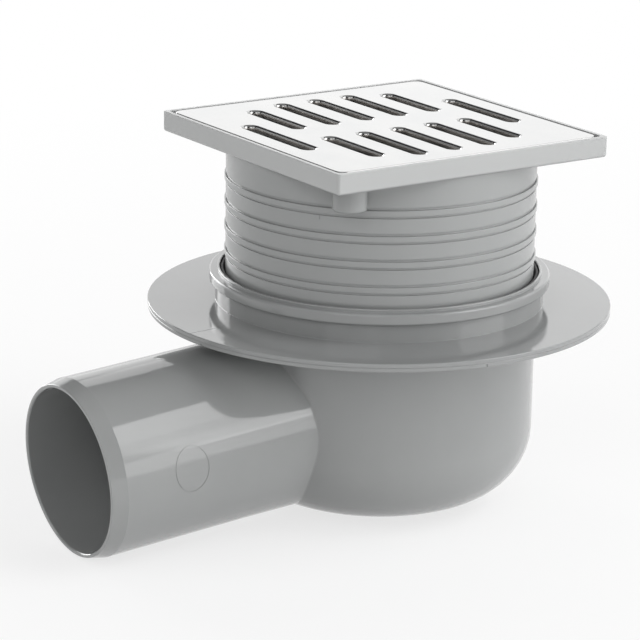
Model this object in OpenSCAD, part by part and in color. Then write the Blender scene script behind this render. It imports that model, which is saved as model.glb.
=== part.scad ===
// Floor gully (gully trap) with a side outlet: a dished bowl with a round
// membrane flange, a ringed neck with a square tile frame that turns and draws
// up in the body's socket, a pressed grate, and a lift-out water trap.
// Millimetres, +Z up. The origin is the centre of the foot under the bowl,
// and the outlet runs towards -Y.

/* [Tile frame] */
// Outer side of the square frame
frame_side = 100; // [100:1:110]
// Height of the frame's edge
frame_h = 6.6; // [6:0.1:8]
// Width of the rim beside the grate
rim_w = 1.4; // [1.2:0.1:1.8]
// Height of the frame's top above the membrane flange
frame_rise = 56; // [56:1:70]
// Gap between the rim and the grate
grate_gap = 0.75; // [0.3:0.05:0.9]
// Diameter of the bosses under two opposite corners
boss_d = 10.5; // [9:0.5:11]
// Length of the bosses below the frame's lower edge
boss_drop = 8.6; // [6:0.1:9]

/* [Grate] */
// Thickness of the steel sheet
sheet_t = 1.5; // [1.2:0.1:1.8]
// Width of a slot at its narrowest
slot_w = 4.4; // [4:0.1:5]
// Distance between rows of slots
slot_pitch = 12.8; // [12.4:0.1:12.8]
// Radius of the rolled lip round a slot
slot_lip = 1.1; // [0.5:0.1:1.2]
// Depth of a slot's drawn wall below the plate's top
slot_draw = 1.9; // [1.7:0.1:3.2]
// Corner radius of the plate
plate_r = 3.0; // [2.5:0.1:5]

/* [Neck] */
// Outer diameter of the neck
neck_d = 97.6; // [97.2:0.1:97.6]
// Wall of the neck
neck_wall = 2.4; // [2.2:0.1:2.6]
// Number of cutting rings
ring_count = 4; // [2:1:4]
// Distance from one ring to the next
ring_pitch = 7.95; // [7:0.05:8]
// Height of a ring
ring_h = 1.8; // [1.6:0.1:2.2]
// How far a ring stands out
ring_out = 0.4; // [0.3:0.1:0.4]
// Width of the fine grooves above and below a ring
ring_cut_w = 0.75; // [0.5:0.05:0.9]
// Depth of the fine grooves
ring_cut = 0.4; // [0.3:0.05:0.5]

/* [Body] */
// Outer diameter of the membrane flange
flange_d = 146.8; // [140:1:170]
// Thickness of the membrane flange
flange_t = 2.6; // [2.4:0.1:3]
// Height of the flange's top above the foot
flange_z = 66.2; // [66:0.1:70]
// Outer diameter of the bowl
bowl_d = 99.6; // [99.2:0.1:100]
// Wall of the body
wall = 2.6; // [2.4:0.1:2.8]
// Radius between the bowl's side and its dished bottom
bowl_fillet = 22.2; // [20:0.1:24]
// Slope of the dished bottom
dish = 10; // [8:1:12]
// Diameter of the flat foot
foot_d = 24; // [20:1:28]

/* [Socket collar] */
// Outer diameter of the collar
collar_d = 104.2; // [104.2:0.2:106]
// Height of the collar above the flange
collar_h = 10.2; // [10:0.1:11]
// Outer diameter of the bead round the collar's top
bead_d = 107.8; // [107.6:0.2:108.4]
// Height of the bead
bead_h = 3.5; // [3.4:0.1:3.7]
// Height of the mouth's lip above the bead
lip_h = 0.9; // [0.7:0.1:1]
// Thickness of the mouth's lip
lip_w = 0.9; // [0.8:0.1:1]
// Diameter of the mouth
mouth_d = 101; // [100.6:0.1:101.2]

/* [Outlet] */
// Outer diameter of the outlet spigot
outlet_d = 56; // [50:1:56]
// Wall of the spigot
outlet_wall = 2.4; // [2:0.1:2.8]
// Distance from the gully's axis to the spigot's end
outlet_reach = 113; // [100:1:130]
// Height at which the spigot's axis meets the gully's axis
outlet_z = 35.1; // [35:0.1:36]
// Fall of the spigot, in degrees
outlet_fall = 3.8; // [1:0.1:3.8]
// Length of the parallel end that a pipe socket takes
spigot_l = 50; // [40:1:50]
// Length of the lead-in chamfer
lead_l = 5; // [3:0.5:8]
// Depth of the lead-in chamfer
lead_r = 1.2; // [0.8:0.1:1.4]

/* [Water trap] */
// Outer diameter of the dip tube
dip_d = 34; // [30:1:36]
// Outer diameter of the water cup
cup_d = 66; // [62:1:68]
// Wall of the trap's pieces
trap_wall = 1.8; // [1.6:0.1:2]
// Height of the cup's overflow edge
cup_rim_z = 46; // [42:1:47]
// Height of the dip tube's lower end
dip_z = 15; // [14:1:18]

/* [Hidden] */
$fn = 96;
eps = 0.01;
run_fit = 0.05;      // clearance of rubber lips on the parts that turn or slide in them
slide_gap = 0.4;     // clearance of the rings in the socket

// Body, from the foot upwards
bowl_r = bowl_d / 2;
foot_r = foot_d / 2;
fillet_x = bowl_r - bowl_fillet;
fillet_z = bowl_fillet * cos(dish)
         + tan(dish) * (fillet_x + bowl_fillet * sin(dish) - foot_r);
flange_r = flange_d / 2;
flange_edge = 0.45;
mouth_z = flange_z + collar_h;
mouth_r = mouth_d / 2;
bead_z = mouth_z - lip_h;
neck_r = neck_d / 2;
socket_r = neck_r + ring_out + slide_gap;
socket_z = flange_z - 1;
bead_r = bead_d / 2;
bead_round = 0.7;
lip_round = 0.3;
groove_r = bead_r - 2.3;
groove_z = mouth_z - 4;
groove_h = 2.2;
outlet_draft = 0.8;  // the outlet's growth in radius from its parallel end to the gully's axis

// Shoulder in the bowl on which the trap insert stands
seat_z = socket_z - 3.8;
seat_r = bowl_r - wall - 2.6;
seat_t = 1.2;

// Neck and frame
neck_foot_z = socket_z + 0.2;
neck_bore_r = neck_r - neck_wall;
frame_z = flange_z + frame_rise;
frame_foot_z = frame_z - frame_h;
recess_side = frame_side - 2 * rim_w;
recess_h = sheet_t + 0.1;
frame_floor_t = 2.4;
frame_skirt = 2.2;
frame_round = 1.2;
boss_at = (neck_r + boss_d / 2 - 1.7) / sqrt(2);
boss_round = 1;
first_ring_drop = 16.7;
rib_t = 1.6;

// Grate: half lengths of the slots, row by row from the middle outwards
plate_side = recess_side - 2 * grate_gap;
plate_z = frame_floor_z() + sheet_t;
slot_in = 5.7;                    // inner end of the paired slots
slot_out = [41.2, 41.2, 36.9];    // outer ends in rows 0, 1 and 2
slot_long = 19.8;                 // half length of the single slots in row 3
slot_wall = 0.9;

// Trap insert
insert_r = bowl_r - wall - 1.2;
insert_h = 3.6;
insert_z = seat_z + insert_h;
insert_groove_r = insert_r - 1.6;
dip_r = dip_d / 2;
funnel_in_r = insert_r - 3.2;
funnel_fall = 9;
hanger_r = cup_d / 2;
hanger_z = cup_rim_z + 6;
cup_r = cup_d / 2;
cup_z = 7;
cup_round = 6;
leg_count = 4;
leg_angle = 26;
bail_r = dip_r - trap_wall / 2;
bail_d = 3.6;

function frame_floor_z() = frame_z - recess_h;

// ---- 2D helpers -------------------------------------------------------------

// Square centred on the origin with round corners
module round_square(side, r) {
    square([side - 2 * r, side], center = true);
    square([side, side - 2 * r], center = true);
    for (x = [-1, 1], y = [-1, 1])
        translate([x, y] * (side / 2 - r)) circle(r);
}

// Half section of a ring plate whose outer edge is rounded top and bottom
module edge_plate(r_in, r_out, h, r) {
    translate([r_in, 0]) square([r_out - r - r_in, h]);
    translate([r_in, r]) square([r_out - r_in, h - 2 * r]);
    for (z = [r, h - r]) translate([r_out - r, z]) circle(r);
}

// Concave fillet in the corner between a wall on the left and a floor
module cove(r) {
    difference() {
        square(r);
        translate([r, r]) circle(r);
    }
}

// Half section of the bowl, drawn in from its outer face by inset, up to top
module bowl_half(inset, top) {
    r_f = bowl_fillet - inset;
    touch = [fillet_x + r_f * sin(dish), fillet_z - r_f * cos(dish)];
    flat_r = touch[0] - (touch[1] - inset) / tan(dish);
    polygon([[0, inset], [flat_r, inset], touch, [fillet_x, fillet_z], [0, fillet_z]]);
    translate([fillet_x, fillet_z]) circle(r_f);
    translate([0, fillet_z]) square([bowl_r - inset, top - fillet_z]);
}

// ---- Gully body -------------------------------------------------------------

// Half section of the body's outside: bowl, flange, collar, bead and lip
module body_outside() {
    bowl_half(0, flange_z);
    translate([0, flange_z - flange_t]) {
        edge_plate(bowl_r - wall, flange_r, flange_t, flange_edge);
        translate([bowl_r, 0]) mirror([0, 1]) cove(1.4);
    }
    translate([bowl_r - wall, flange_z - eps])
        square([collar_d / 2 - bowl_r + wall, collar_h - lip_h]);
    translate([collar_d / 2, flange_z]) cove(0.8);
    translate([0, bead_z - bead_h]) edge_plate(bowl_r, bead_r, bead_h, bead_round);
    translate([0, bead_z - 1]) edge_plate(bowl_r, mouth_r + lip_w, lip_h + 1, lip_round);
}

// Half section of what is open inside: water space, seat, socket, seal groove
module body_inside() {
    difference() {
        bowl_half(wall, socket_z + eps);
        // shoulder with a sloping underside
        polygon([[seat_r, seat_z], [bowl_r, seat_z],
                 [bowl_r, seat_z - seat_t - (bowl_r - seat_r)],
                 [seat_r, seat_z - seat_t]]);
    }
    translate([0, socket_z]) square([socket_r, collar_h + 2]);
    translate([0, groove_z]) square([groove_r, groove_h]);
    translate([0, groove_z + groove_h / 2]) square([mouth_r, collar_h]);
    // lead-in at the mouth
    translate([mouth_r, mouth_z]) rotate(45) square(0.4, center = true);
}

// Cylinder along the outlet's axis, from the gully's axis outwards
module along_outlet(r, l, r_end = undef, start = 0) {
    translate([0, 0, outlet_z]) rotate([90 + outlet_fall, 0, 0])
        translate([0, 0, start])
            cylinder(r1 = r, r2 = is_undef(r_end) ? r : r_end, h = l);
}

module gully_body() {
    outlet_r = outlet_d / 2;
    spigot_at = outlet_reach - lead_l - spigot_l;
    color("darkgray") difference() {
        union() {
            rotate_extrude() body_outside();
            along_outlet(outlet_r + outlet_draft, spigot_at, outlet_r);
            along_outlet(outlet_r, spigot_l, start = spigot_at);
            along_outlet(outlet_r, lead_l, outlet_r - lead_r, outlet_reach - lead_l);
        }
        rotate_extrude() body_inside();
        along_outlet(outlet_r - outlet_wall, outlet_reach + 5);
    }
}

// ---- Neck seal --------------------------------------------------------------

// Lip ring: a heel in the collar's groove, a lip that hugs the neck, and a
// dust ring that fills the mouth above them
module neck_seal() {
    lip_r = neck_r + run_fit;
    heel_z = groove_z + 0.1;
    heel_h = groove_h - 0.2;
    color("black") rotate_extrude()
        polygon([[groove_r - run_fit, heel_z],
                 [groove_r - run_fit, heel_z + heel_h],
                 [mouth_r - 0.3, heel_z + heel_h],
                 [mouth_r - 0.3, mouth_z - 0.5],
                 [mouth_r - 1, mouth_z - 0.5],
                 [lip_r, heel_z + heel_h - 0.2],
                 [lip_r, heel_z - 0.4],
                 [lip_r + 0.35, heel_z - 0.4],
                 [socket_r - 0.15, heel_z]]);
}

// ---- Neck with its frame ----------------------------------------------------

// Block with round vertical edges and a rounded lower edge
module frame_block(side, h, r_foot, r_corner) {
    module section() translate([-side / 2, 0]) {
        translate([0, r_foot]) square([side, h - r_foot]);
        translate([r_foot, 0]) square([side - 2 * r_foot, h]);
        for (x = [r_foot, side - r_foot]) translate([x, r_foot]) circle(r_foot);
    }
    intersection() {
        linear_extrude(h) round_square(side, r_corner);
        rotate([90, 0, 0]) linear_extrude(side, center = true) section();
        rotate([90, 0, 90]) linear_extrude(side, center = true) section();
    }
}

// Heights of the cutting rings above the neck's foot
function ring_heights() = [for (i = [0 : ring_count - 1])
    frame_z - first_ring_drop - i * ring_pitch - neck_foot_z];

// Half section of the neck tube: each cutting ring stands between fine grooves
module neck_half() {
    tube_h = frame_floor_z() - neck_foot_z;
    lead = 0.8;
    edge = 0.15;
    difference() {
        polygon([[neck_bore_r, 0], [neck_r - lead, 0], [neck_r, lead],
                 [neck_r, tube_h], [neck_bore_r, tube_h]]);
        for (z = ring_heights(), side = [-1, 1])
            translate([neck_r, z + side * (ring_h + ring_cut_w) / 2])
                square([2 * ring_cut, ring_cut_w], center = true);
    }
    for (z = ring_heights())
        polygon([[neck_r - 0.5, z - ring_h / 2], [neck_r + ring_out - edge, z - ring_h / 2],
                 [neck_r + ring_out, z - ring_h / 2 + edge],
                 [neck_r + ring_out, z + ring_h / 2 - edge],
                 [neck_r + ring_out - edge, z + ring_h / 2], [neck_r - 0.5, z + ring_h / 2]]);
}

// Corner pockets under the frame's floor, with a stiffening rib in each
module frame_pockets() {
    pocket_h = frame_h - recess_h - frame_floor_t;
    translate([0, 0, frame_foot_z - eps]) linear_extrude(pocket_h + eps) difference() {
        round_square(frame_side - 2 * frame_skirt, 2);
        circle(neck_r + eps);
        for (a = [45, -45]) rotate(a) square([2 * frame_side, rib_t], center = true);
    }
}

module corner_boss() {
    r = boss_d / 2;
    h = frame_h - recess_h - frame_floor_t / 2 + boss_drop;
    rotate_extrude() {
        square([r - boss_round, h]);
        translate([0, boss_round]) square([r, h - boss_round]);
        translate([r - boss_round, boss_round]) circle(boss_round);
    }
}

module neck_frame() {
    color("silver") difference() {
        union() {
            difference() {
                translate([0, 0, frame_foot_z])
                    frame_block(frame_side, frame_h, frame_round, 1);
                frame_pockets();
            }
            translate([0, 0, neck_foot_z]) rotate_extrude() neck_half();
            for (side = [-1, 1])
                translate([side * boss_at, -side * boss_at, frame_foot_z - boss_drop])
                    corner_boss();
        }
        translate([0, 0, neck_foot_z - 1]) cylinder(r = neck_bore_r, h = frame_z);
        translate([0, 0, frame_floor_z()]) linear_extrude(frame_h)
            round_square(recess_side, 1.2);
    }
}

// ---- Grate ------------------------------------------------------------------

// Every slot as [x, y, half length]
function slots() = concat(
    [for (row = [-2 : 2], side = [-1, 1])
        let (out = slot_out[abs(row)])
        [side * (slot_in + out) / 2, row * slot_pitch, (out - slot_in) / 2]],
    [for (side = [-1, 1]) [0, side * 3 * slot_pitch, slot_long]]);

// Sweeps a half section along a slot's edge: two half turns and two straights
module round_slot(half_l, half_w) {
    run = half_l - half_w;
    for (side = [-1, 1]) translate([side * run, 0]) rotate_extrude() children();
    rotate([90, 0, 90]) linear_extrude(2 * run, center = true) {
        children();
        mirror([1, 0]) children();
    }
}

// Half section of the sheet where it rolls over and is drawn down at a slot
module slot_skirt_half() {
    square([slot_w / 2 + slot_wall, slot_draw]);
}

// Half section of the open slot: straight throat with a rolled lip above
module slot_open_half() {
    throat = slot_w / 2;
    translate([0, -1]) square([throat, slot_draw + 2]);
    difference() {
        translate([0, slot_draw - slot_lip]) square([throat + slot_lip, slot_lip + 1]);
        translate([throat + slot_lip, slot_draw - slot_lip]) circle(slot_lip);
    }
}

module grate() {
    half_w = slot_w / 2 + slot_lip;
    color("whitesmoke") difference() {
        union() {
            translate([0, 0, plate_z - sheet_t]) linear_extrude(sheet_t)
                round_square(plate_side, plate_r);
            for (s = slots()) translate([s[0], s[1], plate_z - slot_draw])
                round_slot(s[2], half_w) slot_skirt_half();
        }
        for (s = slots()) translate([s[0], s[1], plate_z - slot_draw])
            round_slot(s[2], half_w) slot_open_half();
    }
}

// ---- Water trap -------------------------------------------------------------

// Half section of the funnel: grooved rim, dish, dip tube and hanger ring
module funnel_half() {
    tube_in = dip_r - trap_wall;
    dish_z = insert_z - 1.2;
    low_z = dish_z - funnel_fall;
    hang_slope = (dish_z - low_z) / (funnel_in_r - dip_r);
    hang_top = low_z + (hanger_r - dip_r) * hang_slope;
    // rim with the seal's groove
    translate([funnel_in_r, seat_z]) square([insert_groove_r - funnel_in_r, insert_h]);
    translate([funnel_in_r, seat_z]) square([insert_r - funnel_in_r, 1.1]);
    translate([funnel_in_r, insert_z - 0.8]) square([insert_r - 0.3 - funnel_in_r, 0.8]);
    // dish
    polygon([[tube_in, low_z], [dip_r, low_z - trap_wall],
             [funnel_in_r + 1, dish_z - trap_wall], [funnel_in_r + 1, dish_z],
             [funnel_in_r, dish_z]]);
    // dip tube
    translate([tube_in, dip_z]) square([trap_wall, low_z - dip_z]);
    // hanger ring that the cup's legs meet
    translate([hanger_r - trap_wall, hanger_z])
        square([trap_wall, hang_top - hanger_z - trap_wall / 2]);
}

module trap_funnel() {
    low_z = insert_z - 1.2 - funnel_fall;
    color("gainsboro") {
        rotate_extrude() funnel_half();
        // lifting bail over the dip tube's mouth
        translate([0, 0, low_z - 0.8]) rotate([90, 0, 90])
            rotate_extrude(angle = 180) translate([bail_r, 0]) circle(d = bail_d);
    }
}

// Half section of a cup with a round lower corner
module cup_half(r, z, round_r) {
    h = hanger_z - z;
    translate([0, z]) {
        square([r - round_r, h]);
        translate([0, round_r]) square([r, h - round_r]);
        translate([r - round_r, round_r]) circle(round_r);
    }
}

// Cup whose wall is cut away above the overflow edge, between its legs
module trap_cup() {
    window_angle = 360 / leg_count - leg_angle;
    color("gainsboro") difference() {
        rotate_extrude() cup_half(cup_r, cup_z, cup_round);
        rotate_extrude() {
            cup_half(cup_r - trap_wall, cup_z + trap_wall, cup_round - trap_wall);
            translate([0, cup_rim_z]) square([cup_r - trap_wall, hanger_z]);
        }
        for (i = [0 : leg_count - 1]) rotate(i * 360 / leg_count - window_angle / 2)
            rotate_extrude(angle = window_angle) translate([cup_r / 2, cup_rim_z])
                square([cup_r, hanger_z]);
    }
}

module trap_seal() {
    low = seat_z + 1.15;
    high = insert_z - 0.85;
    color("black") rotate_extrude()
        polygon([[insert_groove_r + run_fit, low], [insert_r, low],
                 [bowl_r - wall - run_fit, high - 0.3], [bowl_r - wall - run_fit, high],
                 [insert_groove_r + run_fit, high]]);
}

gully_body();
neck_seal();
neck_frame();
grate();
trap_funnel();
trap_cup();
trap_seal();
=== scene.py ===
import math

import bmesh
import bpy
from mathutils import Matrix, Vector


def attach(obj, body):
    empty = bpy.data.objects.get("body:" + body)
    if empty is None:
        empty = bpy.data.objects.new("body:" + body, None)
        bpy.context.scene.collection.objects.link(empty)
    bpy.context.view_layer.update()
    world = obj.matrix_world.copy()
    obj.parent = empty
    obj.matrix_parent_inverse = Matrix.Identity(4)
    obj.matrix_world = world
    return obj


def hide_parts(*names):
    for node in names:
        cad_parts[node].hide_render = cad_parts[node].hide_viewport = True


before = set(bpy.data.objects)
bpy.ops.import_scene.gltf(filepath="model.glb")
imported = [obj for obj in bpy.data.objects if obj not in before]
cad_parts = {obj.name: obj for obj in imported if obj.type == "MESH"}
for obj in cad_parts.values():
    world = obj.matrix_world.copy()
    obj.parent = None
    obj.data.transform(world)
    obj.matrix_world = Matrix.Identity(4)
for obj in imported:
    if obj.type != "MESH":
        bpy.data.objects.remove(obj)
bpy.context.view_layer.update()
mm = 0.001


# small helpers for modelling

def deselectAll():
    if bpy.context.object and bpy.context.object.mode != "OBJECT":
        bpy.ops.object.mode_set(mode="OBJECT")
    bpy.ops.object.select_all(action="DESELECT")


def activate(piece):
    deselectAll()
    piece.select_set(True)
    bpy.context.view_layer.objects.active = piece


def editing(piece):
    activate(piece)
    bpy.ops.object.mode_set(mode="EDIT")


def added(name):
    # the primitive just added, with its place moved into its mesh
    piece = bpy.context.object
    piece.name = piece.data.name = name
    bpy.ops.object.transform_apply(location=True, rotation=True, scale=True)
    return piece


def pick(piece, kind, test):
    # in edit mode, selects the verts, edges or faces whose middle (in mm) passes the test
    bpy.ops.mesh.select_mode(type={"verts": "VERT", "edges": "EDGE", "faces": "FACE"}[kind])
    bpy.ops.mesh.select_all(action="DESELECT")
    mesh = bmesh.from_edit_mesh(piece.data)
    for element in getattr(mesh, kind):
        points = [element.co] if kind == "verts" else [v.co for v in element.verts]
        middle = sum(points, Vector()) / len(points) / mm
        if test(middle, element):
            element.select_set(True)
    mesh.select_flush_mode()
    bmesh.update_edit_mesh(piece.data)


arcStep = 9  # degrees between the points of a rounded corner


def rounded(outline, closed):
    # (radius, height, rounding) corners to plain points, each corner with its arc
    points = []
    count = len(outline)
    for i, corner in enumerate(outline):
        here = Vector(corner[:2])
        radius = corner[2] if len(corner) > 2 else 0
        if radius <= 0 or (not closed and i in (0, count - 1)):
            points.append(here)
            continue
        back = (Vector(outline[i - 1][:2]) - here).normalized()
        ahead = (Vector(outline[(i + 1) % count][:2]) - here).normalized()
        half = back.angle(ahead) / 2
        middle = here + (back + ahead).normalized() * (radius / math.sin(half))
        start = here + back * (radius / math.tan(half)) - middle
        turn = math.pi - 2 * half
        if back.cross(ahead) > 0:
            turn = -turn
        steps = max(2, math.ceil(abs(math.degrees(turn)) / arcStep))
        for k in range(steps + 1):
            a = turn * k / steps
            points.append(middle + Vector((start.x * math.cos(a) - start.y * math.sin(a),
                                           start.x * math.sin(a) + start.y * math.cos(a))))
    return points


def turned(name, outline, steps, closed=False):
    # draws the half section with extruded points and spins it about Z
    points = rounded(outline, closed)
    deselectAll()
    bpy.ops.mesh.primitive_plane_add(size=mm, location=(0, 0, 0))
    piece = added(name)
    editing(piece)
    bpy.ops.mesh.select_mode(type="VERT")
    bpy.ops.mesh.select_all(action="SELECT")
    bpy.ops.mesh.merge(type="CENTER")
    at = points[0]
    bpy.ops.transform.translate(value=(at.x * mm, 0, at.y * mm))
    for point in points[1:]:
        move = point - at
        bpy.ops.mesh.extrude_region_move(
            TRANSFORM_OT_translate={"value": (move.x * mm, 0, move.y * mm)})
        at = point
    if closed:
        mesh = bmesh.from_edit_mesh(piece.data)
        ends = [v for v in mesh.verts if len(v.link_edges) == 1]
        mesh.edges.new(ends)
        bmesh.update_edit_mesh(piece.data)
    bpy.ops.mesh.select_all(action="SELECT")
    bpy.ops.mesh.spin(steps=steps, angle=2 * math.pi, center=(0, 0, 0), axis=(0, 0, 1))
    bpy.ops.mesh.select_all(action="SELECT")
    bpy.ops.mesh.remove_doubles(threshold=2e-6)
    bpy.ops.mesh.normals_make_consistent(inside=False)
    bpy.ops.object.mode_set(mode="OBJECT")
    return piece


def block(name, low, high):
    # a cube between two corners given in mm
    deselectAll()
    middle = [(a + b) / 2 * mm for a, b in zip(low, high)]
    bpy.ops.mesh.primitive_cube_add(size=1, location=middle)
    bpy.context.object.scale = [(b - a) * mm for a, b in zip(low, high)]
    return added(name)


def bevelled(piece, test, width, segments):
    editing(piece)
    pick(piece, "edges", test)
    bpy.ops.mesh.bevel(offset=width * mm, offset_type="OFFSET", segments=segments, profile=0.5,
                       affect="EDGES", clamp_overlap=True)
    bpy.ops.object.mode_set(mode="OBJECT")


def upright(middle, edge):
    # a test for bevelled: the edge stands up
    return abs(edge.verts[0].co.z - edge.verts[1].co.z) > 0.0005


def combine(piece, tool, operation):
    modifier = piece.modifiers.new(operation, "BOOLEAN")
    modifier.operation = operation
    modifier.solver = "EXACT"
    modifier.object = tool
    activate(piece)
    bpy.ops.object.modifier_apply(modifier=modifier.name)
    bpy.data.objects.remove(tool)


def placed(piece, move=(0, 0, 0), turn=(0, 0, 0)):
    activate(piece)
    piece.location = [m * mm for m in move]
    piece.rotation_euler = [math.radians(t) for t in turn]
    bpy.ops.object.transform_apply(location=True, rotation=True, scale=True)
    return piece


def joined(pieces):
    deselectAll()
    for piece in pieces:
        piece.select_set(True)
    bpy.context.view_layer.objects.active = pieces[0]
    bpy.ops.object.join()
    return pieces[0]


def copied(piece, move=(0, 0, 0), turn=(0, 0, 0)):
    twin = piece.copy()
    twin.data = piece.data.copy()
    bpy.context.scene.collection.objects.link(twin)
    return placed(twin, move, turn)


def smoothed(piece, angle=32):
    # crisp edges stay crisp, and flat faces keep a flat sheen beside their bevels
    editing(piece)
    bpy.ops.mesh.select_all(action="SELECT")
    bpy.ops.mesh.remove_doubles(threshold=1e-6)
    bpy.ops.mesh.delete_loose()
    bpy.ops.object.mode_set(mode="OBJECT")
    bpy.ops.object.shade_smooth_by_angle(angle=math.radians(angle), keep_sharp_edges=False)
    modifier = piece.modifiers.new("evenSheen", "WEIGHTED_NORMAL")
    modifier.keep_sharp = True
    modifier.weight = 80
    bpy.ops.object.modifier_apply(modifier=modifier.name)


def dressed(piece, body, slot, material, *nodes):
    piece.data.materials.clear()
    piece.data.materials.append(material)
    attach(piece, body)
    if nodes:
        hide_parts(*nodes)
    print("made", piece.name, len(piece.data.polygons), "faces")


# materials

class Wire:
    # a shader value that can be used in ordinary sums
    def __init__(self, nodes, socket):
        self.nodes, self.socket = nodes, socket

    def maths(self, operation, first, second):
        return self.nodes.node("ShaderNodeMath", {"operation": operation}, {0: first, 1: second})

    def __add__(self, other):
        return self.maths("ADD", self, other)

    def __sub__(self, other):
        return self.maths("SUBTRACT", self, other)

    def __mul__(self, other):
        return self.maths("MULTIPLY", self, other)

    def __rsub__(self, other):
        return self.maths("SUBTRACT", other, self)


class Nodes:
    # adds nodes to one tree; a Wire is linked and anything else becomes the input's value
    def __init__(self, tree):
        self.tree = tree

    def node(self, kind, settings=None, inputs=None, out=0):
        made = self.tree.nodes.new(kind)
        for key, value in (settings or {}).items():
            setattr(made, key, value)
        for key, value in (inputs or {}).items():
            self.join(made.inputs[key], value)
        return Wire(self, made.outputs[out])

    def join(self, socket, value):
        if isinstance(value, Wire):
            self.tree.links.new(value.socket, socket)
        else:
            socket.default_value = value

    def ramp(self, value, low, high, toLow=0.0, toHigh=1.0):
        return self.node("ShaderNodeMapRange", {"clamp": True},
                         {"Value": value, "From Min": low, "From Max": high,
                          "To Min": toLow, "To Max": toHigh})


class Finish(Nodes):
    # one material: constants at the start, then use() takes what varies over the surface
    def __init__(self, name, **constants):
        self.material = bpy.data.materials.new(name)
        self.material.use_nodes = True
        super().__init__(self.material.node_tree)
        self.shader = self.tree.nodes["Principled BSDF"]
        for socket, value in constants.items():
            self.shader.inputs[socket.replace("_", " ")].default_value = value
        self.place = self.node("ShaderNodeTexCoord", out="Object")

    def noise(self, scale, detail, roughness, stretch=None):
        place = self.place
        if stretch:
            place = self.node("ShaderNodeMapping", None, {"Vector": place, "Scale": stretch})
        return self.node("ShaderNodeTexNoise", None,
                         {"Vector": place, "Scale": scale, "Detail": detail, "Roughness": roughness})

    def height(self):
        return self.node("ShaderNodeSeparateXYZ", None, {"Vector": self.place}, out="Z")

    def blend(self, factor, first, second):
        # the colour inputs and output of a Mix node are found by number: 6, 7 and 2
        first, second = (c if isinstance(c, Wire) else (*c, 1) for c in (first, second))
        return self.node("ShaderNodeMix", {"data_type": "RGBA"},
                         {0: factor, 6: first, 7: second}, out=2)

    def bump(self, height, distance):
        return self.node("ShaderNodeBump", None, {"Height": height, "Distance": distance})

    def use(self, **links):
        for socket, wire in links.items():
            self.join(self.shader.inputs[socket.replace("_", " ")], wire)
        return self.material


def mouldedPlastic(name, tone, deep, roughness, spread, wave, paintedLightFrom=None):
    # pigment drift, slight flow marks, fine handling haze and a faint moulding wave
    finish = Finish(name, IOR=1.55)
    drift = finish.noise(22, 3, 0.55)
    flow = finish.noise(60, 4, 0.6, (1, 1, 0.35))
    fine = finish.noise(2600, 2, 0.5)
    haze = finish.noise(130, 5, 0.65)
    colour = finish.blend(finish.ramp(drift * 0.7 + flow * 0.3, 0.32, 0.68), deep, tone)
    if paintedLightFrom:
        # painted light: the frame is painted a little paler than the neck of the same moulding, which
        # stands in the frame's shade
        paintedLightMask = finish.ramp(finish.height(), (paintedLightFrom - 1) * mm, paintedLightFrom * mm, 0, 0.16)
        colour = finish.blend(paintedLightMask, colour, (0.9, 0.9, 0.9))
    rough = finish.ramp(haze * 0.75 + fine * 0.25, 0.3, 0.7, roughness - spread, roughness + spread)
    relief = finish.noise(95, 2, 0.5) * 0.85 + fine * 0.15
    return finish.use(Base_Color=colour, Roughness=rough, Normal=finish.bump(relief, wave * mm))


def polishedSteel(name, wallFrom):
    # nearly a mirror on top and duller down the drawn walls of the slots, where the colour turns
    # lighter and browner as painted light
    finish = Finish(name, Metallic=1.0)
    scratch = finish.noise(420, 3, 0.6, (0.03, 1, 1))
    haze = finish.noise(70, 3, 0.5)
    drawn = finish.noise(500, 2, 0.5, (0.2, 0.2, 1))
    wall = finish.ramp(finish.height(), wallFrom * mm, (wallFrom - 0.4) * mm)
    topTone = finish.blend(finish.ramp(haze, 0.35, 0.65), (0.376, 0.379, 0.378), (0.404, 0.404, 0.400))
    # painted light: the drawn walls are painted lighter and browner than the top, for the lit band they
    # show
    paintedWallLight = finish.blend(finish.ramp(drawn, 0.3, 0.7), (0.56, 0.53, 0.50), (0.66, 0.63, 0.60))
    smooth = finish.ramp(scratch * 0.5 + haze * 0.5, 0.35, 0.65, 0.09, 0.15)
    rough = smooth + wall * (finish.ramp(drawn, 0.3, 0.7, 0.32, 0.46) - smooth)
    return finish.use(Base_Color=finish.blend(wall, topTone, paintedWallLight), Roughness=rough,
                      Normal=finish.bump(scratch, 0.0006 * mm))


def sealRubber(name):
    finish = Finish(name, IOR=1.5)
    dust = finish.noise(240, 4, 0.6)
    grain = finish.noise(1800, 2, 0.5)
    colour = finish.blend(finish.ramp(dust, 0.4, 0.75), (0.012, 0.012, 0.013), (0.03, 0.03, 0.031))
    rough = finish.ramp(grain, 0.3, 0.7, 0.5, 0.65)
    return finish.use(Base_Color=colour, Roughness=rough, Normal=finish.bump(grain, 0.02 * mm))


bodyPlastic = mouldedPlastic("bodyPlastic", tone=(0.270, 0.276, 0.274), deep=(0.252, 0.258, 0.258),
                             roughness=0.09, spread=0.02, wave=0.006)
# from 116.4 mm up the frame is painted paler: painted light, with the neck below it left in shade
framePlastic = mouldedPlastic("framePlastic", tone=(0.284, 0.291, 0.289), deep=(0.270, 0.277, 0.276),
                              roughness=0.22, spread=0.04, wave=0.005, paintedLightFrom=116.4)
trapPlastic = mouldedPlastic("trapPlastic", tone=(0.56, 0.56, 0.55), deep=(0.52, 0.52, 0.51),
                             roughness=0.34, spread=0.05, wave=0.006)
grateSteel = polishedSteel("grateSteel", wallFrom=121.45)
blackRubber = sealRubber("blackRubber")
print("materials ready")


# gully body

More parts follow.
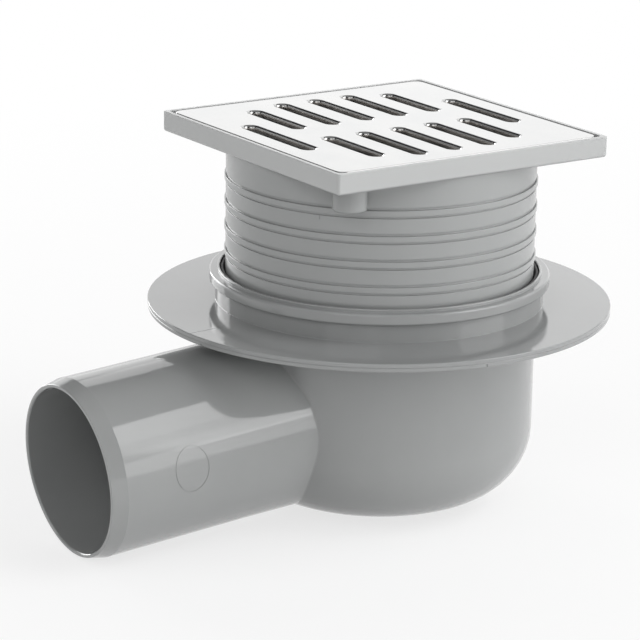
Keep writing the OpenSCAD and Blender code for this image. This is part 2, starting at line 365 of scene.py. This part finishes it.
body = {
    "bowlR": 49.8, "wall": 2.6, "fillet": 22.2, "dish": 10.0, "footR": 12.0, "flatInside": 11.79,
    "flangeR": 73.39, "flangeTop": 66.2, "flangeT": 2.6, "seam": 0.14,
    "collarR": 52.1, "beadR": 53.9, "beadLow": 72.0, "beadTop": 75.5,
    "mouthZ": 76.4, "mouthR": 50.5, "lip": 0.9,
    "socketR": 49.6, "socketZ": 65.2, "grooveR": 51.6, "grooveLow": 72.4, "grooveTop": 74.6,
    "seatR": 44.6, "seatZ": 61.4, "seatT": 1.2,
    "steps": 240,
}
outlet = {
    "r": 28.0, "bore": 25.6, "reach": 113.0, "z": 35.1, "fall": 3.8,
    "parallel": 50.0, "draft": 0.8, "lead": 5.0, "leadR": 1.2,
    "steps": 160,
}
marks = {
    "ringAt": 85.8, "ringAngle": 5.0, "ringR": 5.7, "ringHalf": 0.11, "ringDeep": 0.12,
    "ringStretch": 1.25, "ringSpan": (24, 31), "ringSteps": 96,
    "lineAngle": -86.0, "lineHalf": 0.12, "lineDeep": 0.1, "lineFrom": 9,
    "nickAngle": -8.7, "nickR": 0.4, "nickOut": 0.1,
    "burrAngle": -81.6, "burrHalf": 0.3, "burrOut": 0.3, "burrSpan": (0.1, 0.7),
}
weldBead = {"r": 0.5, "around": 160, "arc": 6, "sink": 0.004, "root": 0.35, "search": (20.0, 70.0)}


def alongOutlet(piece):
    return placed(piece, (0, 0, outlet["z"]), (90 + outlet["fall"], 0, 0))


def gullyBody():
    b, o = body, outlet
    slope = math.tan(math.radians(b["dish"]))
    rise = slope * (b["bowlR"] - b["footR"])
    low = b["flangeTop"] - b["flangeT"]
    middle = (low + b["flangeTop"]) / 2
    outside = [
        (0, 0), (b["footR"], 0, 6), (b["bowlR"], rise, b["fillet"]), (b["bowlR"], low, 1.4),
        (b["flangeR"], low, 0.4), (b["flangeR"], middle - b["seam"]),
        (b["flangeR"] - b["seam"], middle), (b["flangeR"], middle + b["seam"]),
        (b["flangeR"], b["flangeTop"], 0.3),
        (b["collarR"], b["flangeTop"], 0.15), (b["collarR"], b["beadLow"], 0.3),
        (b["beadR"], b["beadLow"], 0.7), (b["beadR"], b["beadTop"], 0.7),
        (b["mouthR"] + b["lip"], b["beadTop"], 0.12), (b["mouthR"] + b["lip"], b["mouthZ"], 0.3),
        (0, b["mouthZ"])]
    whole = turned("gullyShell", outside, b["steps"])
    pipe = alongOutlet(turned("spigot", [
        (0, 0), (o["r"] + o["draft"], 0), (o["r"], o["reach"] - o["lead"] - o["parallel"]),
        (o["r"], o["reach"] - o["lead"], 1.0),
        (o["r"] - o["leadR"], o["reach"], 0.3), (0, o["reach"])], o["steps"]))
    combine(whole, pipe, "UNION")
    # inside: water space, trap seat, neck socket, seal groove and mouth
    innerR = b["bowlR"] - b["wall"]
    innerRise = b["wall"] + slope * (innerR - b["flatInside"])
    inside = [
        (0, b["wall"]), (b["flatInside"], b["wall"], 5), (innerR, innerRise, b["fillet"] - b["wall"]),
        (innerR, b["seatZ"] - b["seatT"] - (innerR - b["seatR"])),
        (b["seatR"], b["seatZ"] - b["seatT"]), (b["seatR"], b["seatZ"], 0.3),
        (innerR, b["seatZ"]), (innerR, b["socketZ"], 0.3), (b["socketR"], b["socketZ"]),
        (b["socketR"], b["grooveLow"], 0.2), (b["grooveR"], b["grooveLow"]),
        (b["grooveR"], b["grooveTop"]), (b["mouthR"], b["grooveTop"], 0.2),
        (b["mouthR"], b["mouthZ"] - 0.25, 0.2), (b["mouthR"] + 0.25, b["mouthZ"] + 0.02),
        (b["mouthR"] + 0.25, b["mouthZ"] + 2), (0, b["mouthZ"] + 2)]
    combine(whole, turned("cavity", inside, b["steps"]), "DIFFERENCE")
    bore = alongOutlet(turned("bore", [
        (0, 0), (o["bore"], 0), (o["bore"], o["reach"] - 0.35, 0.4),
        (o["bore"] + 0.4, o["reach"] + 0.05), (o["bore"] + 0.4, o["reach"] + 4),
        (0, o["reach"] + 4)], o["steps"]))
    combine(whole, bore, "DIFFERENCE")
    combine(whole, joined(mouldMarks()), "DIFFERENCE")
    start, end = marks["burrSpan"]
    burr = block("burr", (b["flangeR"] - 0.5, -marks["burrHalf"], low + start),
                 (b["flangeR"] + marks["burrOut"], marks["burrHalf"], low + end))
    combine(whole, placed(burr, turn=(0, 0, marks["burrAngle"])), "UNION")
    return whole


def mouldMarks():
    # an even ring where the gate was, a parting line across the flange and a nick in its rim
    b, o, m = body, outlet, marks
    inner, outer = m["ringR"] - m["ringHalf"], m["ringR"] + m["ringHalf"]
    low, high = m["ringSpan"]
    ring = turned("gateMark", [(inner, low), (outer, low), (outer, high), (inner, high)],
                  m["ringSteps"], closed=True)
    ring.scale = (1, m["ringStretch"], 1)
    placed(ring, (0, 0, m["ringAt"]), (0, 90, m["ringAngle"]))
    coreR = o["r"] - m["ringDeep"]
    core = turned("core", [(0, 0), (coreR, 0), (coreR, o["reach"]), (0, o["reach"])], o["steps"])
    combine(ring, core, "DIFFERENCE")
    line = block("partingLine",
                 (b["collarR"] + m["lineFrom"], -m["lineHalf"], b["flangeTop"] - m["lineDeep"]),
                 (b["flangeR"] + 1, m["lineHalf"], b["flangeTop"] + 1))
    deselectAll()
    at = ((b["flangeR"] + m["nickOut"]) * mm, 0, (b["flangeTop"] - b["flangeT"]) * mm)
    bpy.ops.mesh.primitive_cylinder_add(vertices=16, radius=m["nickR"] * mm, depth=2 * mm, location=at)
    nick = added("nick")
    return [alongOutlet(ring), placed(line, turn=(0, 0, m["lineAngle"])),
            placed(nick, turn=(0, 0, m["nickAngle"]))]


def offBowl(point):
    # how far a point (in mm) is out of the bowl's outer surface, and the way out
    b = body
    tilt = math.radians(b["dish"])
    filletX = b["bowlR"] - b["fillet"]
    filletZ = (b["fillet"] * math.cos(tilt)
               + math.tan(tilt) * (filletX + b["fillet"] * math.sin(tilt) - b["footR"]))
    r = math.hypot(point.x, point.y)
    level = Vector((point.x / r, point.y / r, 0))
    if point.z >= filletZ:
        return r - b["bowlR"], level
    way = Vector((r - filletX, point.z - filletZ))
    if way.x > 0 and way.angle(Vector((0, -1))) > tilt:
        out = way.normalized()
        distance = way.length - b["fillet"]
    else:
        out = Vector((math.sin(tilt), -math.cos(tilt)))
        distance = (Vector((r, point.z)) - Vector((b["footR"], 0))).dot(out)
    return distance, (level * out.x + Vector((0, 0, out.y))).normalized()


def weldFillet():
    # rolls a small ball along the corner between the spigot and the bowl
    o, w = outlet, weldBead
    fall = math.radians(o["fall"])
    along = Vector((0, -math.cos(fall), -math.sin(fall)))
    side = Vector((1, 0, 0))
    up = side.cross(along)
    start = Vector((0, 0, o["z"]))
    parallelFrom = o["reach"] - o["lead"] - o["parallel"]
    count, arc = w["around"], w["arc"]
    rings = []
    for i in range(count):
        a = 2 * math.pi * i / count
        out = side * math.cos(a) + up * math.sin(a)
        near, far = w["search"]
        for _ in range(40):
            half = (near + far) / 2
            r = o["r"] + o["draft"] * max(0, 1 - half / parallelFrom)
            ball = start + out * (r + w["r"]) + along * half
            if offBowl(ball)[0] < w["r"]:
                near = half
            else:
                far = half
        onPipe, onBowl = -out, -offBowl(ball)[1]
        swing = onPipe.angle(onBowl)
        axis = onPipe.cross(onBowl).normalized()
        ring = []
        for k in range(arc + 1):
            # the two outer rows sink a little way into the plastic
            reach = w["r"] + (w["sink"] if k in (0, arc) else 0)
            ring.append(ball + Matrix.Rotation(swing * k / arc, 3, axis) @ onPipe * reach)
        inward = (onPipe + onBowl).normalized()
        ring.append(ball + inward * (w["r"] / math.cos(swing / 2)) + inward * w["root"])
        rings.append(ring)
    width = arc + 2
    points = [p * mm for ring in rings for p in ring]
    faces = [[i * width + k, ((i + 1) % count) * width + k,
              ((i + 1) % count) * width + (k + 1) % width, i * width + (k + 1) % width]
             for i in range(count) for k in range(width)]
    mesh = bpy.data.meshes.new("weld")
    mesh.from_pydata(points, [], faces)
    piece = bpy.data.objects.new("weld", mesh)
    bpy.context.scene.collection.objects.link(piece)
    editing(piece)
    bpy.ops.mesh.select_all(action="SELECT")
    bpy.ops.mesh.normals_make_consistent(inside=False)
    bpy.ops.object.mode_set(mode="OBJECT")
    return piece


shell = gullyBody()
print("body cut")
smoothed(shell, 30)
weld = weldFillet()
activate(weld)
bpy.ops.object.shade_smooth()
shell = joined([shell, weld])
shell.name = "bodyMoulding"
dressed(shell, "gully", "body_plastic", bodyPlastic, "gully_body")


# neck seal

lipRing = {
    "section": [(51.55, 72.5, 0.3), (51.55, 74.5, 0.3), (50.2, 74.5, 0.2), (50.2, 75.9, 0.3),
                (49.5, 75.9, 0.3), (48.85, 74.3, 0.2), (48.85, 72.1, 0.15), (49.2, 72.1, 0.15),
                (49.45, 72.5, 0.1)],
    "steps": 200,
}
seal = turned("lipSeal", lipRing["section"], lipRing["steps"], closed=True)
smoothed(seal, 40)
dressed(seal, "seal", "seal_rubber", blackRubber, "neck_seal")


# neck with its tile frame

neck = {
    "r": 48.8, "bore": 46.4, "foot": 65.4, "side": 100.0, "top": 122.2, "h": 6.6, "steps": 240,
    "rim": 1.4, "recess": 1.6, "floor": 2.4, "skirt": 2.2, "ribHalf": 0.8,
    "cornerR": 1.0, "lowEdge": 1.2, "topEdge": 0.22, "innerEdge": 0.15, "recessR": 1.2, "pocketR": 2.0,
    "rings": 4, "firstRing": 16.7, "pitch": 7.95, "ringH": 1.8, "ringOut": 0.4,
    "cutW": 0.75, "cut": 0.4, "cutR": 0.12, "ringR": 0.15,
    "bossR": 5.25, "bossAt": 37.0, "bossLow": 107.0,
    "tickAngle": -56.7, "tickLow": 102.6, "tickH": 1.4, "tickHalf": 0.12, "tickDeep": 0.2,
}


def neckTube(top):
    # each cutting ring stands between two fine grooves
    n = neck
    r, deep, proud = n["r"], n["r"] - n["cut"], n["r"] + n["ringOut"]
    cutR, ringR = n["cutR"], n["ringR"]
    outline = [(0, n["foot"]), (r - 0.8, n["foot"], 0.15), (r, n["foot"] + 0.8, 0.3)]
    for i in reversed(range(n["rings"])):
        z = n["top"] - n["firstRing"] - i * n["pitch"]
        under, over = z - n["ringH"] / 2, z + n["ringH"] / 2
        outline += [(r, under - n["cutW"], cutR), (deep, under - n["cutW"], cutR), (deep, under, cutR),
                    (proud, under, ringR), (proud, over, ringR),
                    (deep, over, cutR), (deep, over + n["cutW"], cutR), (r, over + n["cutW"], cutR)]
    return turned("neckTube", outline + [(r, top), (0, top)], n["steps"])


def cornerPockets(low, top):
    # the hollows under the frame's corners, each with a diagonal rib left standing
    n = neck
    half = n["side"] / 2 - n["skirt"]
    pockets = block("pockets", (-half, -half, low - 3), (half, half, top))
    bevelled(pockets, upright, n["pocketR"], 5)
    deselectAll()
    bpy.ops.mesh.primitive_cylinder_add(vertices=160, radius=(n["r"] + 0.3) * mm, depth=20 * mm,
                                        location=(0, 0, low * mm))
    combine(pockets, added("core"), "DIFFERENCE")
    for turn in (45, -45):
        rib = block("rib", (-90, -n["ribHalf"], low - 5), (90, n["ribHalf"], top + 3))
        combine(pockets, placed(rib, turn=(0, 0, turn)), "DIFFERENCE")
    return pockets


def neckFrame():
    n = neck
    low = n["top"] - n["h"]
    floor = n["top"] - n["recess"]
    half = n["side"] / 2
    inner = half - n["rim"]
    pocketTop = floor - n["floor"]

    def atTop(m, e):
        return m.z > n["top"] - 0.01

    def recessEdge(m, e):
        return (atTop(m, e) and max(abs(m.x), abs(m.y)) < inner + 0.02
                and len(e.link_faces) == 2 and e.calc_face_angle(0) > 1)

    plate = block("frameBlock", (-half, -half, low), (half, half, n["top"]))
    bevelled(plate, upright, n["cornerR"], 6)
    bevelled(plate, lambda m, e: m.z < low + 0.01, n["lowEdge"], 6)
    bevelled(plate, atTop, n["topEdge"], 3)
    recess = block("recess", (-inner, -inner, floor), (inner, inner, n["top"] + 4))
    bevelled(recess, upright, n["recessR"], 6)
    combine(plate, recess, "DIFFERENCE")
    bevelled(plate, recessEdge, n["innerEdge"], 2)
    combine(plate, cornerPockets(low, pocketTop), "DIFFERENCE")
    combine(plate, neckTube(floor - 1), "UNION")
    boss = turned("boss", [(0, n["bossLow"]), (n["bossR"], n["bossLow"], 1.0),
                           (n["bossR"], pocketTop + 0.5), (0, pocketTop + 0.5)], 64)
    twin = copied(boss, (-n["bossAt"], n["bossAt"], 0))
    combine(plate, placed(boss, (n["bossAt"], -n["bossAt"], 0)), "UNION")
    combine(plate, twin, "UNION")
    bore = turned("neckBore", [
        (0, n["foot"] - 4), (n["bore"] + 0.4, n["foot"] - 4), (n["bore"] + 0.4, n["foot"]),
        (n["bore"], n["foot"] + 0.5, 0.3), (n["bore"], n["top"] + 3), (0, n["top"] + 3)], n["steps"])
    combine(plate, bore, "DIFFERENCE")
    tick = block("tick", (n["r"] - n["tickDeep"], -n["tickHalf"], n["tickLow"]),
                 (n["r"] + 1, n["tickHalf"], n["tickLow"] + n["tickH"]))
    combine(plate, placed(tick, turn=(0, 0, n["tickAngle"])), "DIFFERENCE")
    return plate


neckPiece = neckFrame()
smoothed(neckPiece, 32)
neckPiece.name = "neckMoulding"
dressed(neckPiece, "neck", "frame_plastic", framePlastic, "neck_frame")


# pressed steel grate

grate = {
    "side": 95.7, "corner": 3.0, "sheet": 1.5, "top": 122.1,
    "slot": 4.4, "lip": 1.1, "wall": 0.9, "draw": 1.9, "pitch": 12.8,
    "inner": 5.7, "outer": (41.2, 41.2, 36.9), "long": 19.8, "edge": 0.25, "skirtEdge": 0.15,
    "roundPoints": 48,
}


def stadium(name, halfLength, halfWidth, low, high, at):
    # a round-ended prism: two halves of a circle drawn apart, then raised
    count = grate["roundPoints"]
    deselectAll()
    bpy.ops.mesh.primitive_circle_add(vertices=count, radius=halfWidth * mm, fill_type="NGON",
                                      location=(0, 0, low * mm), rotation=(0, 0, math.pi / count))
    piece = added(name)
    editing(piece)
    run = (halfLength - halfWidth) * mm
    for way in (-1, 1):
        pick(piece, "verts", lambda m, e, way=way: m.x * way > 0.001)
        bpy.ops.transform.translate(value=(way * run, 0, 0))
    bpy.ops.mesh.select_all(action="SELECT")
    bpy.ops.mesh.extrude_region_move(TRANSFORM_OT_translate={"value": (0, 0, (high - low) * mm)})
    bpy.ops.mesh.select_all(action="SELECT")
    bpy.ops.mesh.normals_make_consistent(inside=False)
    bpy.ops.transform.translate(value=(at[0] * mm, at[1] * mm, 0))
    bpy.ops.object.mode_set(mode="OBJECT")
    return piece


def slotPlaces():
    # the middle and half length of each slot: five rows of two, and a single one at either end
    g = grate
    for row in range(-2, 3):
        out = g["outer"][abs(row)]
        for side in (-1, 1):
            yield side * (g["inner"] + out) / 2, row * g["pitch"], (out - g["inner"]) / 2
    for side in (-1, 1):
        yield 0, side * 3 * g["pitch"], g["long"]


def pressedGrate():
    g = grate
    half = g["side"] / 2
    low = g["top"] - g["sheet"]
    drawn = g["top"] - g["draw"]
    throat = g["slot"] / 2

    def onTop(m, e):
        return m.z > g["top"] - 0.001 and len(e.link_faces) == 2 and e.calc_face_angle(0) > 1

    def slotEdge(m, e):
        return onTop(m, e) and max(abs(m.x), abs(m.y)) < half - 2

    def plateEdge(m, e):
        return onTop(m, e) and not slotEdge(m, e)

    def skirtEdge(m, e):
        return m.z < drawn + 0.001 and e.calc_face_angle(0) > 1

    sheet = block("grateSheet", (-half, -half, low), (half, half, g["top"]))
    bevelled(sheet, upright, g["corner"], 12)
    skirts = [stadium("skirt", long - g["lip"] + g["wall"], throat + g["wall"],
                      drawn, g["top"] - g["sheet"] / 2, (x, y)) for x, y, long in slotPlaces()]
    combine(sheet, joined(skirts), "UNION")
    holes = [stadium("hole", long - g["lip"], throat, drawn - 1, g["top"] + 1, (x, y))
             for x, y, long in slotPlaces()]
    combine(sheet, joined(holes), "DIFFERENCE")
    bevelled(sheet, slotEdge, g["lip"], 8)
    bevelled(sheet, plateEdge, g["edge"], 3)
    bevelled(sheet, skirtEdge, g["skirtEdge"], 2)
    return sheet


gratePiece = pressedGrate()
smoothed(gratePiece, 35)
gratePiece.name = "pressedGrate"
dressed(gratePiece, "neck", "grate_steel", grateSteel, "grate")


# lift-out water trap

insert = {
    "section": [
        (43.6, 61.4), (46.0, 61.4, 0.3), (46.0, 62.5, 0.3), (44.4, 62.5, 0.1), (44.4, 64.2, 0.1),
        (45.7, 64.2, 0.2), (45.7, 65.0, 0.3), (42.8, 65.0, 0.4), (42.8, 63.6, 0.6),
        (15.2, 54.3, 3.0), (15.2, 15.0, 0.4), (17.0, 15.0, 0.4), (17.0, 53.0, 1.5), (31.2, 57.6),
        (31.2, 52.0, 0.2), (33.0, 52.0, 0.2), (33.0, 58.2)],
    "steps": 180,
    "bailR": 16.1, "bailThick": 1.8, "bailZ": 54.0,
}


def waterTrap():
    # the funnel with its dip tube, and half a ring across it to lift it by
    t = insert
    funnel = turned("trapFunnel", t["section"], t["steps"], closed=True)
    middle = (0, 0, t["bailZ"] * mm)
    deselectAll()
    bpy.ops.mesh.primitive_torus_add(major_segments=96, minor_segments=28,
                                     major_radius=t["bailR"] * mm, minor_radius=t["bailThick"] * mm,
                                     location=middle, rotation=(0, math.radians(90), 0))
    bail = added("bail")
    editing(bail)
    bpy.ops.mesh.select_all(action="SELECT")
    bpy.ops.mesh.bisect(plane_co=middle, plane_no=(0, 0, 1), use_fill=True, clear_inner=True)
    bpy.ops.object.mode_set(mode="OBJECT")
    combine(funnel, bail, "UNION")
    return funnel


trap = waterTrap()
smoothed(trap, 35)
dressed(trap, "gully", "trap_plastic", trapPlastic, "trap_funnel")
# the cup and the seal of the trap keep their plain meshes, in the right material
for name, material in (("trap_cup", trapPlastic), ("trap_seal", blackRubber)):
    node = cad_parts[name]
    node.data.materials.clear()
    node.data.materials.append(material)
print("trap done")


# camera, floor and light

view = {
    "azimuth": 56.27, "elevation": 16.48, "roll": 0.85, "lens": 163.85, "sensor": 36,
    "distance": 928.1, "aside": -18.54, "height": 57.8,
}
studio = {
    # the mirrored room: bearing of its white half, where that half begins and how high it reaches,
    # and from what height the ceiling pales
    "backdrop": -158, "side": (-0.32, -0.04), "reach": (0.47, 0.38), "overhead": (0.72, 0.97),
    "dim": 0.06, "zenith": 0.40, "ambient": 0.30,
    # the floor: how white it is made to look close by, and the distances (m) over which it turns white
    "lift": 0.72, "fade": (0.12, 0.6), "floorSize": 12, "floorZ": -0.0002, "lampsAim": (0, 0, 0.06),
}
lamps = [
    # bearing and height in degrees, distance, width and height in metres, watts, seen in reflections
    ("rightUpper", 132, 46, 1.3, 0.85, 0.5, 5.0, True),
    ("rightMiddle", 132, 24, 1.3, 0.85, 0.5, 4.2, True),
    ("rightLower", 128, 5, 1.3, 1.0, 0.45, 2.2, True),
    ("rightFill", 116, 8, 1.3, 1.2, 0.5, 6.0, False),
    ("frontSoftbox", 38, 30, 1.4, 0.9, 0.7, 3.8, True),
    ("leftSoftbox", -8, 34, 1.4, 0.7, 0.7, 2.2, True),
    ("leftFill", -10, 6, 1.4, 0.7, 0.5, 2.0, False),
    ("leftStrip", -84, 8, 1.3, 0.6, 0.9, 9.0, True),
    ("backSoftbox", -124, 12, 1.5, 1.6, 0.6, 1.8, True),
    ("backUpper", -150, 38, 1.5, 1.9, 0.55, 5.5, True),
]


def towards(azimuth, elevation):
    # azimuth is measured from -Y towards +X, both in degrees
    a, e = math.radians(azimuth), math.radians(elevation)
    return Vector((math.sin(a) * math.cos(e), -math.cos(a) * math.cos(e), math.sin(e)))


def addCamera():
    back = towards(view["azimuth"], view["elevation"])
    a, r = math.radians(view["azimuth"]), math.radians(view["roll"])
    right = Vector((math.cos(a), math.sin(a), 0))
    up = back.cross(right)
    data = bpy.data.cameras.new("camera")
    data.lens, data.sensor_width, data.clip_end = view["lens"], view["sensor"], 50
    camera = bpy.data.objects.new("camera", data)
    bpy.context.scene.collection.objects.link(camera)
    x = right * math.cos(r) + up * math.sin(r)
    y = up * math.cos(r) - right * math.sin(r)
    turn = Matrix((x, y, back)).transposed().to_4x4()
    at = right * view["aside"] + Vector((0, 0, view["height"])) + back * view["distance"]
    camera.matrix_world = Matrix.Translation(at * mm) @ turn
    bpy.context.scene.camera = camera


def softbox(name, azimuth, elevation, distance, width, height, power, mirrored):
    way = towards(azimuth, elevation)
    data = bpy.data.lights.new(name, "AREA")
    data.shape, data.size, data.size_y = "RECTANGLE", width, height
    data.energy = power
    lamp = bpy.data.objects.new(name, data)
    bpy.context.scene.collection.objects.link(lamp)
    lamp.location = Vector(studio["lampsAim"]) + way * distance
    lamp.rotation_euler = way.to_track_quat("Z", "Y").to_euler()
    lamp.visible_glossy = mirrored


def rays(nodes, *kinds):
    # 1 for a ray of one of these kinds, otherwise 0
    total = nodes.node("ShaderNodeLightPath", out=kinds[0])
    for kind in kinds[1:]:
        total = total + nodes.node("ShaderNodeLightPath", out=kind)
    return total


def addWorld():
    # white behind and round the sides, dim on the camera's side, a grey ceiling straight above
    world = bpy.data.worlds.new("studio")
    bpy.context.scene.world = world
    world.use_nodes = True
    sky = Nodes(world.node_tree)
    way = sky.node("ShaderNodeTexCoord")
    height = sky.node("ShaderNodeSeparateXYZ", None, {"Vector": way}, out="Z")
    facing = sky.node("ShaderNodeVectorMath", {"operation": "DOT_PRODUCT"},
                      {0: way, 1: towards(studio["backdrop"], 0)}, out="Value")
    white = sky.ramp(facing, *studio["side"]) * sky.ramp(height, *studio["reach"])
    above = sky.ramp(height, *studio["overhead"], 0, studio["zenith"])
    shown = sky.ramp(white, 0, 1, studio["dim"], 1.0) + above
    camera = rays(sky, "Is Camera Ray")
    mirrored = rays(sky, "Is Glossy Ray", "Is Transmission Ray")
    seen = camera + (1 - camera) * (mirrored * shown + (1 - mirrored) * studio["ambient"])
    back = world.node_tree.nodes["Background"]
    back.inputs["Color"].default_value = (1, 1, 1, 1)
    sky.join(back.inputs["Strength"], seen)


def addFloor():
    deselectAll()
    bpy.ops.mesh.primitive_plane_add(size=studio["floorSize"], location=(0, 0, studio["floorZ"]))
    floor = added("floor")
    paper = Finish("paleFloor", Base_Color=(0.86, 0.86, 0.86, 1), Roughness=0.9, Specular_IOR_Level=0.1)
    glow = paper.node("ShaderNodeEmission", None, {"Color": (1, 1, 1, 1), "Strength": 1.0})
    seen = rays(paper, "Is Camera Ray", "Is Glossy Ray", "Is Transmission Ray")
    away = paper.node("ShaderNodeVectorMath", {"operation": "LENGTH"}, {0: paper.place}, out="Value")
    lift = paper.ramp(seen, 0, 1) * paper.ramp(away, *studio["fade"], studio["lift"], 1.0)
    shade = Wire(paper, paper.shader.outputs["BSDF"])
    mixed = paper.node("ShaderNodeMixShader", None, {0: lift, 1: shade, 2: glow})
    paper.join(paper.tree.nodes["Material Output"].inputs["Surface"], mixed)
    floor.data.materials.append(paper.material)


addCamera()
addWorld()
addFloor()
for lamp in lamps:
    softbox(*lamp)
bpy.context.scene.view_settings.view_transform = "Standard"
print("stage set")
